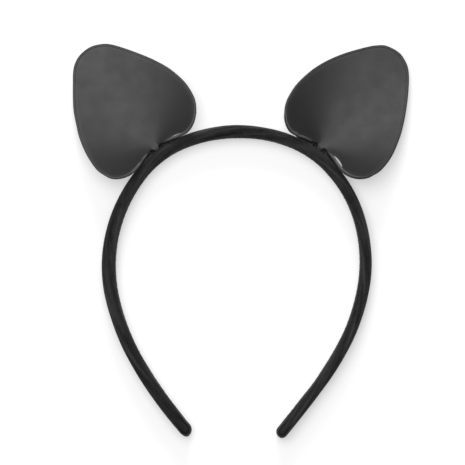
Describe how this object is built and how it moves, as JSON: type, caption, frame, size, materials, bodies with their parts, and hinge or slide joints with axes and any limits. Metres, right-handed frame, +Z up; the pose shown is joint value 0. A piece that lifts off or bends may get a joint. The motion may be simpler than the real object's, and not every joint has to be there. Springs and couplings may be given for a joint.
{
  "type": "animal ears headband",
  "caption": "Slim fabric-covered spring headband with a pair of cupped, rounded leather animal ears sewn to its crown.",
  "frame": {"origin": "on the surface the headband lies on, under the middle of the whole part's outline", "axes": "+Z up from the surface; the band's plane is XY; +Y runs from the open tips to the crown and the ears; -X is the left arm and left ear seen from above"},
  "size_m": [0.161, 0.1891, 0.0153],
  "materials": {
    "band_fabric": "matt black woven cover",
    "band_foam": "thin soft padding",
    "core_plastic": "moulded strip",
    "ear_leather": "smooth satin black",
    "ear_board": "stiff pressed interlining"
  },
  "bodies": {
    "crown": {"crown_core": "core_plastic", "crown_padding": "band_foam", "crown_cover": "band_fabric", "left_ear_foot": "ear_leather", "right_ear_foot": "ear_leather"},
    "left_arm": {"left_arm_core": "core_plastic", "left_arm_padding": "band_foam", "left_arm_cover": "band_fabric", "left_tip_cap": "band_fabric"},
    "right_arm": {"right_arm_core": "core_plastic", "right_arm_padding": "band_foam", "right_arm_cover": "band_fabric", "right_tip_cap": "band_fabric"},
    "left_ear": {"left_ear_front_panel": "ear_leather", "left_ear_stiffener": "ear_board", "left_ear_back_panel": "ear_leather", "left_ear_hem": "ear_leather", "left_ear_neck": "ear_leather"},
    "right_ear": {"right_ear_front_panel": "ear_leather", "right_ear_stiffener": "ear_board", "right_ear_back_panel": "ear_leather", "right_ear_hem": "ear_leather", "right_ear_neck": "ear_leather"}
  },
  "joints": [
    {"name": "left_arm_flex", "type": "hinge", "parent": "crown", "child": "left_arm", "pos_m": [-0.05706, 0.01668, 0.0045], "axis": [0, 0, -1], "range_deg": [-4, 20], "stiffness_Nm_per_rad": 0.5},
    {"name": "right_arm_flex", "type": "hinge", "parent": "crown", "child": "right_arm", "pos_m": [0.05602, 0.01426, 0.0045], "axis": [0, 0, 1], "range_deg": [-4, 20], "stiffness_Nm_per_rad": 0.5},
    {"name": "left_ear_tilt", "type": "hinge", "parent": "crown", "child": "left_ear", "pos_m": [-0.04059, 0.04496, 0.0045], "axis": [0.8054, 0.5928, 0], "range_deg": [-20, 2], "stiffness_Nm_per_rad": 0.12},
    {"name": "right_ear_tilt", "type": "hinge", "parent": "crown", "child": "right_ear", "pos_m": [0.03837, 0.04512, 0.0045], "axis": [0.8086, -0.5884, 0], "range_deg": [-20, 2], "stiffness_Nm_per_rad": 0.12}
  ]
}
